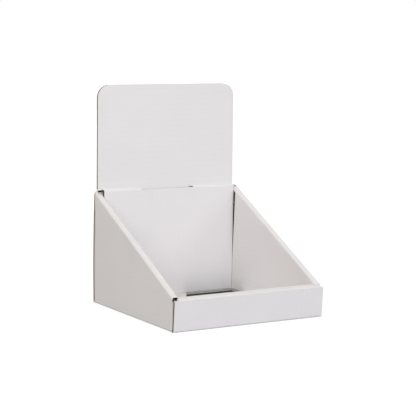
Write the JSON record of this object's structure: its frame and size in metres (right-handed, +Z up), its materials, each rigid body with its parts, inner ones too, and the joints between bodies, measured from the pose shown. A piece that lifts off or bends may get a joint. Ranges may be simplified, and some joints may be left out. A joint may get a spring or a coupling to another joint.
{
  "type": "cardboard counter display stand",
  "caption": "Open counter display tray folded from white corrugated board, with a high back, sloping sides, a low front and an upright header card in a slot.",
  "frame": {"origin": "bottom centre of the whole stand's box, on the counter", "axes": "+X to the right as seen from the front, +Y to the back wall, +Z up"},
  "size_m": [0.2, 0.1964, 0.262],
  "materials": {
    "white_board": "matt white-lined corrugated board, raw edges grey-brown",
    "header_board": "matt white-lined corrugated board, raw edges grey-brown"
  },
  "bodies": {
    "root": {"folded_tray": "white_board", "header_card": "header_board"}
  },
  "joints": []
}
